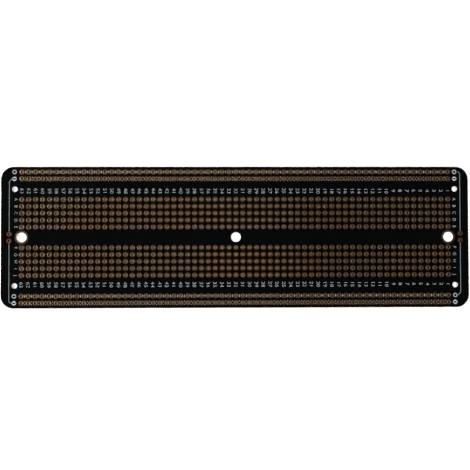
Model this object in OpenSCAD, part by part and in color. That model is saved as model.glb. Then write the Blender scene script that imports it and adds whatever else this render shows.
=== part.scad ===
// Solderable prototype board in the layout of a full-size breadboard.
// A drilled sheet carries plated copper nets, each one piece: rings on top, barrels
// through the sheet, and rings joined by a track on the underside.
// X runs along the board, Y across it, and Z up. The origin is at the centre of the
// board, at the level of the underside tracks.

/* [Hole grid] */
// Spacing of the component holes in both directions
pitch = 2.54; // [2.5:0.01:2.8]
// Number of numbered columns
columns = 63; // [61:1:70]
// Rows in each bank
bank_rows = 5; // [4:1:6]
// Distance between the inner rows of the two banks
bank_gap = 7.62; // [7.3:0.02:12]
// Distance from the outer row of a bank to the nearer power rail
rail_gap = 7.62; // [6:0.02:12]

/* [Board] */
// Thickness of the laminate with its solder mask
board_t = 1.6; // [0.8:0.1:2.4]
// Distance from the end columns to the ends of the board
end_margin = 7.62; // [7.2:0.02:10]
// Distance from the outer power rails to the long edges
side_margin = 1.905; // [1.3:0.005:5]
// Radius of the rounded corners
corner_r = 4.7; // [0.5:0.1:6]

/* [Plated holes] */
// Outer diameter of a solder pad
pad_d = 1.9; // [1.7:0.05:2.1]
// Finished bore of a component hole
hole_d = 1; // [0.8:0.05:1.1]
// Thickness of the plating on the wall of a drilled hole
plating_t = 0.075; // [0.05:0.005:0.1]
// Height of the plated copper above the laminate
copper_t = 0.06; // [0.03:0.005:0.1]

/* [Tracks] */
// Width of the track that joins the holes of one column
strip_w = 1.2; // [0.6:0.1:1.8]
// Width of the track along a power rail
rail_w = 1.4; // [0.6:0.1:1.8]
// Width of the track from a power rail to its link pad
link_w = 0.8; // [0.4:0.1:1.2]
// Distance from the link pads to the end of the board
link_edge = 3.05; // [2.4:0.01:3.3]
// Size of the bend where that track turns the corner
link_bend = 1; // [0.7:0.1:1.5]

/* [Screw holes] */
// Finished diameter of the three holes on the centre line
screw_hole_d = 3.6; // [2.5:0.1:4]
// Outer diameter of the plated ring round each end hole
screw_ring_d = 5; // [4.5:0.1:5.2]
// Diameter of the four small holes near the corners
corner_hole_d = 2; // [1.2:0.1:2.4]
// Distance from the end columns out to the small holes
corner_hole_out = 2.54; // [2.2:0.02:2.7]

/* [Legend] */
// Thickness of the printed ink
ink_t = 0.03; // [0.01:0.005:0.05]
// Clear ring between the ink and a pad
ink_gap = 0.05; // [0.02:0.01:0.1]
// Width of the marks between the rail holes
mark_w = 0.25; // [0.2:0.05:0.6]
// Length of the mark between two plus holes
plus_mark_l = 1.15; // [0.6:0.05:1.6]
// Overall length of the double mark between two minus holes
minus_mark_l = 1.6; // [1.2:0.05:1.9]
// Bare gap in the middle of a double mark
minus_mark_gap = 0.5; // [0.2:0.05:0.8]
// Width of the printed line from a polarity mark to its link pad
link_line_w = 0.25; // [0.2:0.05:0.6]
// Bare gap between the upper plus mark and the start of its link line
link_line_gap = 0.35; // [0:0.05:0.6]
// Diameter of the round polarity marks at the ends of the rails
polarity_d = 1.75; // [1.2:0.05:2]
// Distance from the end columns out to the polarity marks
polarity_out = 2.62; // [2.3:0.02:2.8]

/* [Hidden] */
$fn = 48;

// Columns held by one node of contact strips
strips_per_node = 10;

// Where the columns, rows and rails lie
end_x = (columns - 1) / 2 * pitch;
inner_row_y = bank_gap / 2;
outer_row_y = inner_row_y + (bank_rows - 1) * pitch;
inner_rail_y = outer_row_y + rail_gap;
outer_rail_y = inner_rail_y + pitch;
board_l = 2 * (end_x + end_margin);
board_w = 2 * (outer_rail_y + side_margin);
link_x = board_l / 2 - link_edge;
link_y = pitch / 2;

// Levels of the layers, from the underside of the tracks upwards
board_z = copper_t;
top_z = board_z + board_t;

// Column 1 is at the right-hand end
function column_x(c) = end_x - (c - 1) * pitch;
function strip_points(c, side) =
    [for (r = [0 : bank_rows - 1]) [column_x(c), side * (inner_row_y + r * pitch)]];
function rail_points(y) = [for (c = [1 : columns]) [column_x(c), y]];
function last_of(first) = min(first + strips_per_node - 1, columns);
function drilled(bore_d) = bore_d + 2 * plating_t;

// Flat artwork that the layers share

module discs(points, d) {
    for (p = points) translate(p) circle(d = d);
}

module line(a, b, w) {
    translate(a) rotate(atan2(b.y - a.y, b.x - a.x)) translate([0, -w / 2])
        square([norm(b - a), w]);
}

module rounded_outline(l, w, r) {
    square([l, w - 2 * r], center = true);
    square([l - 2 * r, w], center = true);
    for (x = [-1, 1], y = [-1, 1])
        translate([x * (l / 2 - r), y * (w / 2 - r)]) circle(r);
}

module quarter_bend(r, w) {
    intersection() {
        difference() {
            circle(r + w / 2);
            circle(r - w / 2);
        }
        square(r + w);
    }
}

// From a rail's level at from_x, round the bend and down to the link pad's level.
// The outer rail turns in an arc, and the inner one in a straight cut corner.
module link_route_outer(from_x, w) {
    line([from_x, outer_rail_y], [link_x - link_bend, outer_rail_y], w);
    translate([link_x - link_bend, outer_rail_y - link_bend]) quarter_bend(link_bend, w);
    line([link_x, link_y], [link_x, outer_rail_y - link_bend], w);
}

module link_route_inner(from_x, w) {
    turn = [[link_x - link_bend, -inner_rail_y], [link_x, link_bend - inner_rail_y]];
    line([from_x, -inner_rail_y], turn[0], w);
    line(turn[0], turn[1], w);
    discs(turn, w);
    line(turn[1], [link_x, -link_y], w);
}

// One net of plated copper: its tracks are the children, on the underside
module copper_net(points, ring_d, bore_d) {
    linear_extrude(copper_t) difference() {
        union() {
            discs(points, ring_d);
            children();
        }
        discs(points, bore_d);
    }
    translate([0, 0, board_z]) linear_extrude(board_t) difference() {
        discs(points, drilled(bore_d));
        discs(points, bore_d);
    }
    translate([0, 0, top_z]) linear_extrude(copper_t) difference() {
        discs(points, ring_d);
        discs(points, bore_d);
    }
}

module board() {
    color("#15161a") translate([0, 0, board_z]) linear_extrude(board_t) difference() {
        rounded_outline(board_l, board_w, corner_r);
        for (c = [1 : columns], side = [-1, 1])
            discs(strip_points(c, side), drilled(hole_d));
        for (y = [inner_rail_y, outer_rail_y], side = [-1, 1])
            discs(rail_points(side * y), drilled(hole_d));
        for (x = [-1, 1], y = [-1, 1]) {
            translate([x * link_x, y * link_y]) circle(d = drilled(hole_d));
            translate([x * (end_x + corner_hole_out), y * (outer_row_y + rail_gap / 2)])
                circle(d = corner_hole_d);
        }
        for (x = [-1, 1]) translate([x * end_x, 0]) circle(d = drilled(screw_hole_d));
        circle(d = screw_hole_d);
    }
}

// The contact strips of up to ten columns, above (side 1) or below (side -1) the middle
module strips(first, side) {
    color("#b98d4f") for (c = [first : last_of(first)])
        copper_net(strip_points(c, side), pad_d, hole_d)
            line([column_x(c), side * inner_row_y], [column_x(c), side * outer_row_y], strip_w);
}

module outer_rail() {
    color("#b98d4f")
        copper_net(concat(rail_points(outer_rail_y), [[link_x, link_y]]), pad_d, hole_d) {
            line([-end_x, outer_rail_y], [end_x, outer_rail_y], rail_w);
            link_route_outer(end_x, link_w);
        }
}

module inner_rail() {
    color("#b98d4f")
        copper_net(concat(rail_points(-inner_rail_y), [[link_x, -link_y]]), pad_d, hole_d) {
            line([-end_x, -inner_rail_y], [end_x, -inner_rail_y], rail_w);
            link_route_inner(end_x, link_w);
        }
}

module screw_ring(side) {
    color("#b98d4f") copper_net([[side * end_x, 0]], screw_ring_d, screw_hole_d);
}

// White ink on the top face

module ink() {
    color("#e9e7df") translate([0, 0, top_z]) linear_extrude(ink_t) children();
}

// Marks between the holes of one rail, kept clear of the pads
module rail_marks(y, mark_l, gap) {
    ink() difference() {
        for (c = [1 : columns - 1])
            translate([column_x(c) - pitch / 2, y]) square([mark_w, mark_l], center = true);
        discs(rail_points(y), pad_d + 2 * ink_gap);
        if (gap > 0) translate([0, y]) square([2 * end_x, gap], center = true);
    }
}

module outer_link_line(start_gap = 0) {
    ink() difference() {
        link_route_outer(end_x + polarity_out, link_line_w);
        translate([end_x + polarity_out, outer_rail_y]) circle(d = polarity_d + 2 * start_gap);
        translate([link_x, link_y]) circle(d = pad_d + 2 * ink_gap);
    }
}

module inner_link_line() {
    ink() difference() {
        link_route_inner(end_x + polarity_out, link_line_w);
        translate([end_x + polarity_out, -inner_rail_y]) circle(d = polarity_d);
        translate([link_x, -link_y]) circle(d = pad_d + 2 * ink_gap);
    }
}

board();
strips(1, 1);  // upper_strips_from_1
strips(11, 1);  // upper_strips_from_11
strips(21, 1);  // upper_strips_from_21
strips(31, 1);  // upper_strips_from_31
strips(41, 1);  // upper_strips_from_41
strips(51, 1);  // upper_strips_from_51
strips(61, 1);  // upper_strips_from_61
strips(1, -1);  // lower_strips_from_1
strips(11, -1);  // lower_strips_from_11
strips(21, -1);  // lower_strips_from_21
strips(31, -1);  // lower_strips_from_31
strips(41, -1);  // lower_strips_from_41
strips(51, -1);  // lower_strips_from_51
strips(61, -1);  // lower_strips_from_61
outer_rail();  // upper_plus_rail
rotate(180) inner_rail();  // upper_minus_rail
inner_rail();  // lower_plus_rail
rotate(180) outer_rail();  // lower_minus_rail
screw_ring(-1);  // left_screw_ring
screw_ring(1);  // right_screw_ring
rail_marks(outer_rail_y, plus_mark_l, 0);  // upper_plus_marks
rail_marks(inner_rail_y, minus_mark_l, minus_mark_gap);  // upper_minus_marks
rail_marks(-inner_rail_y, plus_mark_l, 0);  // lower_plus_marks
rail_marks(-outer_rail_y, minus_mark_l, minus_mark_gap);  // lower_minus_marks
outer_link_line(link_line_gap);  // upper_plus_link_line
rotate(180) inner_link_line();  // upper_minus_link_line
inner_link_line();  // lower_plus_link_line
rotate(180) outer_link_line();  // lower_minus_link_line
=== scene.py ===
import math

import bpy
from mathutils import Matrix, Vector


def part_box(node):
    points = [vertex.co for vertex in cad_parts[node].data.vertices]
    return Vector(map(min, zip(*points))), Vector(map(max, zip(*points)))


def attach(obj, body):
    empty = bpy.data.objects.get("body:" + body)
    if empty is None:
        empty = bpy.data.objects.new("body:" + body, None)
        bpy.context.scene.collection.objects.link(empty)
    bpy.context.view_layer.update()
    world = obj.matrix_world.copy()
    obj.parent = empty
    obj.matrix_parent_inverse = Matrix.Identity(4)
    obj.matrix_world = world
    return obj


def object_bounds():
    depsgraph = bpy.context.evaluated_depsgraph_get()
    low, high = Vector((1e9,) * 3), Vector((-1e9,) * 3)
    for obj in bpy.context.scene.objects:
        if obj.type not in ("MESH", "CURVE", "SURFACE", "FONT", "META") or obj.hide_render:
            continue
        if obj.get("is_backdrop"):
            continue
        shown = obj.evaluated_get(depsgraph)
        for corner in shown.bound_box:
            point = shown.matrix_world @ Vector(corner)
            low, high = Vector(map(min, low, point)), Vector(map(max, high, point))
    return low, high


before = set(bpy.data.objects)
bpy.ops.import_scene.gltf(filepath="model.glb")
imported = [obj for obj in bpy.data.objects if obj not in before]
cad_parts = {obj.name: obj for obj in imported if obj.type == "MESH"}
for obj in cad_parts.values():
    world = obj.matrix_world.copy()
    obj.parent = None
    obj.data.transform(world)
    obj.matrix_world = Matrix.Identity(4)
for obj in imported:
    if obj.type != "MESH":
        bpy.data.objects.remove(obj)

# Camera, floor and light
# The board lies on a plain white floor and is seen from straight above. The softboxes at its
# four sides keep clear of the mirror angle, so the black face stays dark. Under the board
# the floor glows faintly, which gives the holes their warm light.

cad_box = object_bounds()

camera_place = (-0.004518, -0.004952, 0.251632)
camera_turn = (math.radians(1.315), math.radians(-0.957), math.radians(-0.122))
camera_lens = 51.86

bpy.ops.object.select_all(action="DESELECT")
bpy.ops.object.camera_add(location=camera_place, rotation=camera_turn)
camera = bpy.context.object
camera.name = "camera"
camera.data.lens = camera_lens
camera.data.sensor_width = 36
camera.data.clip_start = 0.01
camera.data.clip_end = 50
bpy.context.scene.camera = camera


class Field:
    """A value that varies over a surface, so that shader maths reads as plain Python."""

    def __init__(self, tree, socket):
        self.tree = tree
        self.socket = socket

    def node(self, kind, inputs, output=0, **settings):
        """A node fed by inputs, a dict from an input's name or number to a number or Field."""
        made = self.tree.nodes.new(kind)
        for name, value in settings.items():
            setattr(made, name, value)
        for name, value in inputs.items():
            if isinstance(value, Field):
                self.tree.links.new(value.socket, made.inputs[name])
            else:
                made.inputs[name].default_value = value
        return Field(self.tree, made.outputs[output])

    def maths(self, operation, *values):
        return self.node("ShaderNodeMath", dict(enumerate(values)), operation=operation)

    def __add__(self, other):
        return self.maths("ADD", self, other)

    def __radd__(self, other):
        return self.maths("ADD", other, self)

    def __sub__(self, other):
        return self.maths("SUBTRACT", self, other)

    def __rsub__(self, other):
        return self.maths("SUBTRACT", other, self)

    def __mul__(self, other):
        return self.maths("MULTIPLY", self, other)

    def __rmul__(self, other):
        return self.maths("MULTIPLY", other, self)

    def __truediv__(self, other):
        return self.maths("DIVIDE", self, other)

    def __abs__(self):
        return self.maths("ABSOLUTE", self)

    def __round__(self):
        return self.maths("ROUND", self)

    def length(self, other):
        return self.maths("SQRT", self * self + other * other)

    def at_most(self, other):
        return self.maths("MINIMUM", self, other)

    def above(self, edge, soft):
        """0 below the edge and 1 above it, with a ramp of width soft between them."""
        ramp = (self - edge) / soft + 0.5
        return ramp.node("ShaderNodeClamp", {0: ramp})

    def choose(self, low, high):
        """The colour low where this field is 0, and high where it is 1."""
        return self.node("ShaderNodeMix", {0: self, 6: low, 7: high}, 2, data_type="RGBA")


class Finish:
    """A material with its place on the object in millimetres, ready to be fed with fields."""

    def __init__(self, name):
        self.material = bpy.data.materials.new(name)
        self.material.use_nodes = True
        tree = self.material.node_tree
        self.shader = tree.nodes["Principled BSDF"]
        coordinates = tree.nodes.new("ShaderNodeTexCoord")
        self.place = Field(tree, coordinates.outputs["Object"])
        self.x, self.y, self.z = self.split(self.place, 1000)
        normal = Field(tree, coordinates.outputs["Normal"])
        self.flat = abs(self.split(normal, 1)[2]).above(0.5, 0.2)

    def split(self, vector, scale):
        parts = vector.node("ShaderNodeSeparateXYZ", {0: vector})
        outputs = parts.socket.node.outputs
        return [Field(parts.tree, output) * scale for output in outputs]

    def noise(self, size_mm, detail=2):
        """Cloudy noise from 0 to 1 with features of about that size."""
        scale = 1000 / size_mm
        inputs = {"Vector": self.place, "Scale": scale, "Detail": detail}
        return self.place.node("ShaderNodeTexNoise", inputs)

    def feed(self, name, value):
        if isinstance(value, Field):
            value.tree.links.new(value.socket, self.shader.inputs[name])
        else:
            self.shader.inputs[name].default_value = value

    def bump(self, height, distance_mm):
        """Relief of that field's height, as a normal."""
        inputs = {"Height": height, "Distance": distance_mm / 1000}
        self.feed("Normal", height.node("ShaderNodeBump", inputs))

    def paint(self, *pieces):
        for piece in pieces:
            for slot in piece.material_slots:
                slot.material = self.material


floor_size = 1.3
floor_colour = (0.94, 0.94, 0.94, 1)
floor_glow = (1, 0.72, 0.48, 1)
floor_glow_faint = (0.42, 0.29, 0.19, 1)
black = (0, 0, 0, 1)
floor_glow_strength = 0.09
floor_glow_reach = 120
floor_faint_from = 20
floor_faint_to = 54

bpy.ops.object.select_all(action="DESELECT")
bpy.ops.mesh.primitive_plane_add(size=floor_size)
floor = bpy.context.object
floor.name = "floor"
floor_paint = Finish("white_floor")
floor_paint.feed("Base Color", floor_colour)
floor_paint.feed("Roughness", 0.9)
# Painted light: the floor glows warm under the board to light the holes. A fainter band from 20 to
# 54 mm along x leaves the holes there in painted shade.
faint = floor_paint.x.above(floor_faint_from, 14) * (1 - floor_paint.x.above(floor_faint_to, 14))
glow = faint.choose(floor_glow, floor_glow_faint)
away = floor_paint.x.length(floor_paint.y).above(floor_glow_reach, 40)
floor_paint.feed("Emission Color", away.choose(glow, black))
floor_paint.feed("Emission Strength", floor_glow_strength)
floor.data.materials.append(floor_paint.material)
floor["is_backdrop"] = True

long_softbox = (1.3, 0.22)
short_softbox = (0.35, 0.5)
softbox_distance = 1.5
horizon_light = (1, 1, 1, 1)
dome_light = (0.04, 0.04, 0.04, 1)
horizon_height = 0.1
horizon_softness = 0.12

for name, around, tilt, size, power in (
        ("front_softbox", -101, 29, long_softbox, 15.5),
        ("back_softbox", 101, 29, long_softbox, 15.5),
        ("left_softbox", 180, 44, short_softbox, 10.5),
        ("right_softbox", 0, 46, short_softbox, 4.4)):
    bpy.ops.object.light_add(type="AREA")
    softbox = bpy.context.object
    softbox.name = name
    softbox.data.shape = "RECTANGLE"
    softbox.data.size, softbox.data.size_y = size
    softbox.data.energy = power
    around, tilt = math.radians(around), math.radians(tilt)
    softbox.location = (
        softbox_distance * math.sin(tilt) * math.cos(around),
        softbox_distance * math.sin(tilt) * math.sin(around),
        softbox_distance * math.cos(tilt))
    softbox.rotation_euler = (tilt, 0, around + math.radians(90))

world = bpy.data.worlds.new("studio")
world.use_nodes = True
background = world.node_tree.nodes["Background"]
sky = world.node_tree.nodes.new("ShaderNodeTexCoord")
direction = Field(world.node_tree, sky.outputs["Generated"])
height = direction.node("ShaderNodeSeparateXYZ", {0: direction}, 2)
dome = height.above(horizon_height, horizon_softness).choose(horizon_light, dome_light)
world.node_tree.links.new(dome.socket, background.inputs["Color"])
bpy.context.scene.world = world
bpy.context.scene.view_settings.view_transform = "Standard"

# Board
# One sheet of glass-epoxy laminate, drilled, under a semi-gloss black solder mask. Its milled
# edges and unplated holes show the bare laminate, with the hole walls painted paler as painted
# light. The mask stops just short of each pad. Near the pads it is painted brown, a painted
# reflection of the gold beside it, weaker round the lone link pads.

pitch = 2.54
end_column = 31
link_pad_x = 83.31
link_pad_y = pitch / 2
pad_radius = 0.95
mask_clearance = 0.06
gold_reflection_reach = 1.9
lone_pads_from = (end_column * pitch + link_pad_x) / 2
lone_pads_fade = 0.3
mask_black = (0.0006, 0.0008, 0.0009, 1)
mask_black_worn = (0.0013, 0.0016, 0.0017, 1)
mask_gold_reflection = (0.0225, 0.0088, 0.0023, 1)
laminate_face = (0.006, 0.005, 0.003, 1)
laminate_edge = (0.34, 0.29, 0.16, 1)
laminate_edge_dark = (0.17, 0.14, 0.07, 1)
drilled_wall_lit = (0.74, 0.75, 0.76, 1)
edge_half_length = 84
edge_half_width = 21
ply_count = 31
mask_thickness = 0.05
mask_specular = 0.105
laminate_roughness = 0.62
mask_roughness = 0.14


def from_nearest_hole(finish):
    """The distance in mm to the nearest component hole, that hole's column and row, and which
    way this place lies from it: 1 along the board and 0 across it."""
    column = round(finish.x / pitch)
    row = round(abs(finish.y) / pitch - 0.5)
    off_column = finish.x - column * pitch
    off_row = abs(finish.y) - (row + 0.5) * pitch
    banks = row.above(0.5, 0.1) * (1 - row.above(5.5, 0.1))
    rails = row.above(7.5, 0.1) * (1 - row.above(9.5, 0.1))
    drilled = (banks + rails) * (1 - abs(column).above(end_column + 0.5, 0.1))
    grid = off_column.length(off_row) + (1 - drilled) * 10
    link = (abs(finish.x) - link_pad_x).length(abs(finish.y) - link_pad_y)
    sideways = off_column * off_column / (grid * grid)
    return grid.at_most(link), column, row, sideways


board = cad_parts["board"]
low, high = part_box("board")
board_middle_z = 500 * (low.z + high.z)
board_half_t = 500 * (high.z - low.z)

mask = Finish("black_solder_mask")
hole_distance = from_nearest_hole(mask)[0]
clearance_ring = 1 - hole_distance.above(pad_radius + mask_clearance, 0.02)
face = mask.noise(6).choose(mask_black, mask_black_worn)
lone_pads = abs(mask.x).above(lone_pads_from, 0.5)
# Painted reflection: near the pads the mask is brown and partly metallic, as if it mirrored the
# gold, and this is fainter round the lone link pads.
gold_reflection = (1 - hole_distance.above(gold_reflection_reach, 0.5)) * (1 - lone_pads * lone_pads_fade)
face = gold_reflection.choose(face, mask_gold_reflection)
face = clearance_ring.choose(face, laminate_face)
ply = mask.z * ply_count + mask.noise(3) * 4
plies = ply.maths("SINE", ply)
edge = (plies * 0.5 + mask.noise(0.4) * 0.5).choose(laminate_edge_dark, laminate_edge)
mask_rim = abs(mask.z - board_middle_z).above(board_half_t - mask_thickness, 0.02)
edge = mask_rim.choose(edge, mask_black)
inside = 1 - abs(mask.x).above(edge_half_length, 1)
inside = inside * (1 - abs(mask.y).above(edge_half_width, 1))
# The unplated hole walls are pale laminate, painted paler still as painted light, so the holes
# look bright.
edge = inside.choose(edge, drilled_wall_lit)
mask.feed("Base Color", mask.flat.choose(edge, face))
rougher = mask.noise(1.5) * 0.06 + clearance_ring * 0.3 + gold_reflection * 0.03
smoother = laminate_roughness - mask_roughness - rougher
mask.feed("Roughness", laminate_roughness - mask.flat * smoother)
mask.feed("Metallic", gold_reflection.above(0.15, 0.3) * mask.flat * (1 - clearance_ring))
mask.feed("Specular IOR Level", mask_specular)
mask.bump(mask.noise(0.9, 3), 0.004)
mask.paint(board)

# Plated copper
# Each contact strip and each rail is one piece of gold-plated copper: rings on top, barrels
# through the board, and rings joined by a track on the underside that the mask covers.

plated_pad = (0.84, 0.61, 0.415, 1)
plated_pad_olive = (0.77, 0.605, 0.31, 1)
plated_pad_rosy = (0.98, 0.54, 0.30, 1)
shaded_barrel_wall = (0.05, 0.032, 0.018, 1)
barrel_edge = (0.45, 0.30, 0.20, 1)
barrel_roughness = 0.4
plating_roughness = 0.135
rim_start = 0.86
rim_width = 0.16
rim_shade = 0.85
side_shade = 0.3
side_roughness = 0.045
bank_middle_y = 8.1
bank_half_width = 4.5
bank_half_length = 85
masked_track = (0.013, 0.012, 0.010, 1)


def nodes_ending(ending):
    return [node for name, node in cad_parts.items() if name.endswith(ending)]


def plated_finish(name):
    """Plated copper, with pads a little rosier towards the middle of each bank. Painted shade
    darkens each pad at its rim and on its sides across the board, and the barrels are painted dark
    as painted shade. The mask covers the underside beyond the rings."""
    finish = Finish(name)
    distance, column, row, sideways = from_nearest_hole(finish)
    seed = column.node("ShaderNodeCombineXYZ", {0: column, 1: row, 2: finish.y.above(0, 0.1)})
    chance = seed.node("ShaderNodeTexWhiteNoise", {"Vector": seed})
    across = (1 - abs(abs(finish.y) - bank_middle_y) / bank_half_width).above(0.5, 1)
    middle = across * (1 - abs(finish.x) / bank_half_length)
    rosy = (finish.noise(24, 1) + middle * 0.15).above(0.5, 0.2)
    tint = rosy.choose(plated_pad_olive, plated_pad_rosy)
    tinted = (finish.noise(22, 1) * 0.6 + chance * 0.12 + middle * 0.4).above(0.45, 0.22)
    # Painted shade: each pad darkens towards its rim and on its sides across the board, where the
    # light falls less.
    rim = 1 - distance.above(rim_start, rim_width) * rim_shade
    side = 1 - (1 - sideways) * side_shade
    pad = (rim * side).choose(mask_black, tinted.choose(plated_pad, tint))
    # The barrel walls are painted near black, painted shade inside the holes.
    colour = finish.flat.choose(shaded_barrel_wall, pad)
    under = (1 - finish.z.above(board_middle_z, 0.1)) * finish.flat
    masked = under * distance.above(pad_radius, 0.02)
    finish.feed("Base Color", masked.choose(colour, masked_track))
    finish.feed("Specular Tint", barrel_edge)
    finish.feed("Metallic", 1 - masked)
    rough = plating_roughness + finish.noise(0.5) * 0.07 + sideways * finish.flat * side_roughness
    finish.feed("Roughness", rough + (1 - finish.flat) * barrel_roughness - masked * 0.1)
    finish.bump(finish.noise(0.12, 3), 0.004)
    return finish


strips = [node for name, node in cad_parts.items() if "_strips_" in name]
plated_finish("gold_plated_copper").paint(*strips, *nodes_ending("_rail"))

# Screw-hole rings
# The two end screw holes are plated through, with a broad ring on both faces. Their wide barrels
# are painted near white, painted light that stands in for the light of the floor.

screw_ring_pad = (0.46, 0.37, 0.29, 1)
screw_barrel_lit_wall = (0.90, 0.86, 0.80, 1)

ring_plating = Finish("gold_plated_ring")
# Painted light: the barrel walls are near white.
ring_plating.feed("Base Color", ring_plating.flat.choose(screw_barrel_lit_wall, screw_ring_pad))
ring_plating.feed("Metallic", 1)
ring_plating.feed("Roughness", plating_roughness + ring_plating.noise(0.5) * 0.07)
ring_plating.bump(ring_plating.noise(0.12, 3), 0.004)
ring_plating.paint(*nodes_ending("_screw_ring"))

# Printed marks and lines
# White ink, screened on the top face: the marks between the rail holes, warmed by the gold
# beside them, and the lines from the polarity marks to the link pads.

line_tone = 0.145
mark_tone = 0.27
ink_tint = (0.92, 1, 1.05)
mark_tint = (1.06, 0.86, 0.66)
plus_dash = (-1, 0.45)
minus_dash = (0.42, 0.72)


def ink_finish(name, tone, dash=None, tint=ink_tint):
    """White ink whose cover varies; a tone of 1 would be pure white. A dash is full from the
    first distance in mm to the second, out from its row of holes, and thins out beyond them."""
    finish = Finish(name)
    full = tuple(tone * part for part in tint) + (1,)
    cover = 0.7 + finish.noise(0.35, 3) * 0.3
    if dash:
        rows_out = abs(finish.y) / pitch - 0.5
        along = abs(rows_out - round(rows_out)) * pitch
        cover = cover * along.above(dash[0], 0.2) * (1 - along.above(dash[1], 0.25))
    finish.feed("Base Color", cover.choose(mask_black, full))
    finish.feed("Roughness", 0.55 + finish.noise(0.8) * 0.15)
    finish.bump(finish.noise(0.15, 3), 0.006)
    return finish


ink_finish("plus_mark_ink", mark_tone, plus_dash, mark_tint).paint(*nodes_ending("_plus_marks"))
ink_finish("minus_mark_ink", mark_tone, minus_dash, mark_tint).paint(*nodes_ending("_minus_marks"))
ink_finish("line_ink", line_tone).paint(*nodes_ending("_link_line"))

# Column numbers
# White printed numbers run along both banks, one by each column. They are turned a quarter
# clockwise, so that they read with column 1 at the top.

label_tone = 0.365
digit_height = 0.00118
digit_stretch = 1.15
digit_advance = 0.00107
label_weight = -0.018
ink_thickness = 0.00003
top_z = high.z
upper_numbers_y = 6.735
lower_numbers_y = -6.86
upper_numbers_shift = -0.01
lower_numbers_shift = -0.05
column_count = 63

label_ink = ink_finish("label_ink", label_tone)


def inked(piece, ink):
    """Gives a printed piece its ink and its place on the board."""
    piece.data.materials.clear()
    piece.data.materials.append(ink.material)
    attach(piece, "root")


def text_mesh(words, size):
    """A mesh of printed text of that size, standing on the X axis and centred on the origin."""
    bpy.ops.object.select_all(action="DESELECT")
    bpy.ops.object.text_add()
    text = bpy.context.object
    text.data.body = words
    text.data.size = size
    text.data.align_x = "CENTER"
    text.data.offset = label_weight * size
    text.data.resolution_u = 3
    text.data.extrude = ink_thickness / 2
    bpy.ops.object.convert(target="MESH")
    return bpy.context.object


trial = text_mesh("H", 1)
capital_height = trial.dimensions.y
bpy.data.objects.remove(trial)


def label(words, x, y, height, stretch):
    """The characters of text whose middle is at x, y in hole pitches, evenly spaced and turned
    a quarter clockwise."""
    pieces = []
    for place, character in enumerate(words):
        piece = text_mesh(character, height / capital_height)
        along = (place - (len(words) - 1) / 2) * digit_advance
        piece.scale.x = stretch
        piece.rotation_euler.z = math.radians(-90)
        piece.location = (
            x * pitch / 1000 - height / 2,
            y * pitch / 1000 - along,
            top_z + ink_thickness / 2)
        bpy.ops.object.transform_apply(location=True, rotation=True, scale=True)
        pieces.append(piece)
    return pieces


def joined(pieces, name):
    """All those pieces as one, with its origin at the board's."""
    bpy.ops.object.select_all(action="DESELECT")
    for piece in pieces:
        piece.select_set(True)
    bpy.context.view_layer.objects.active = pieces[0]
    bpy.ops.object.join()
    pieces[0].name = name
    return pieces[0]


for bank, shift, numbers_y in (
        ("upper", upper_numbers_shift, upper_numbers_y),
        ("lower", lower_numbers_shift, lower_numbers_y)):
    digits = []
    for number in range(1, column_count + 1):
        x = end_column + 1 - number + shift
        digits += label(str(number), x, numbers_y, digit_height, digit_stretch)
    inked(joined(digits, f"{bank}_column_numbers"), label_ink)

# Row letters
# The ten rows are lettered A to J at both ends of the board, in the same ink and direction.

letter_height = 0.00108
letter_stretch = 0.98
left_letters_x = -31.85
right_letters_x = 31.93
rows = {letter: 5.5 - place for place, letter in enumerate("ABCDE")}
rows |= {letter: -1.5 - place for place, letter in enumerate("FGHIJ")}

for end, letters_x in (("left", left_letters_x), ("right", right_letters_x)):
    letters = []
    for letter, y in rows.items():
        letters += label(letter, letters_x, y, letter_height, letter_stretch)
    inked(joined(letters, f"{end}_row_letters"), label_ink)

# Polarity marks
# A round white spot at each end of a rail has its plus or minus sign left bare, so that the
# black mask shows through.

spot_tone = 0.38
spot_radius = 0.00078
sign_length = 0.00108
sign_width = 0.00050
spot_x = 32.03
spot_shift = -0.035
rail_rows = {9.5: "plus", 8.5: "minus", -8.5: "plus", -9.5: "minus"}


def sign_bar(width, length):
    """A bar that cuts a spot through."""
    bpy.ops.object.select_all(action="DESELECT")
    bpy.ops.mesh.primitive_cube_add(size=1, scale=(width, length, ink_thickness * 4))
    bpy.ops.object.transform_apply(location=True, rotation=True, scale=True)
    return bpy.context.object


def polarity_spot(sign):
    bpy.ops.object.select_all(action="DESELECT")
    bpy.ops.mesh.primitive_cylinder_add(vertices=40, radius=spot_radius, depth=ink_thickness)
    spot = bpy.context.object
    bars = [sign_bar(sign_length, sign_width)]
    if sign == "plus":
        bars.append(sign_bar(sign_width, sign_length))
    bpy.context.view_layer.objects.active = spot
    for bar in bars:
        cut = spot.modifiers.new("sign", "BOOLEAN")
        cut.object = bar
        cut.operation = "DIFFERENCE"
        bpy.ops.object.modifier_apply(modifier=cut.name)
        bpy.data.objects.remove(bar)
    return spot


spot_ink = ink_finish("spot_ink", spot_tone)
spots = {sign: polarity_spot(sign) for sign in ("plus", "minus")}
for sign, spot in spots.items():
    copies = []
    for y in (y for y, marked in rail_rows.items() if marked == sign):
        for side in (-1, 1):
            bpy.ops.object.select_all(action="DESELECT")
            spot.select_set(True)
            bpy.context.view_layer.objects.active = spot
            bpy.ops.object.duplicate()
            copy = bpy.context.object
            copy.location = (
                (side * spot_x + spot_shift) * pitch / 1000,
                y * pitch / 1000,
                top_z + ink_thickness / 2)
            bpy.ops.object.transform_apply(location=True, rotation=True, scale=True)
            copies.append(copy)
    bpy.data.objects.remove(spot)
    inked(joined(copies, f"{sign}_polarity_marks"), spot_ink)

{"cad": [list(c) for c in cad_box], "visual": [list(c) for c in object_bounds()]}
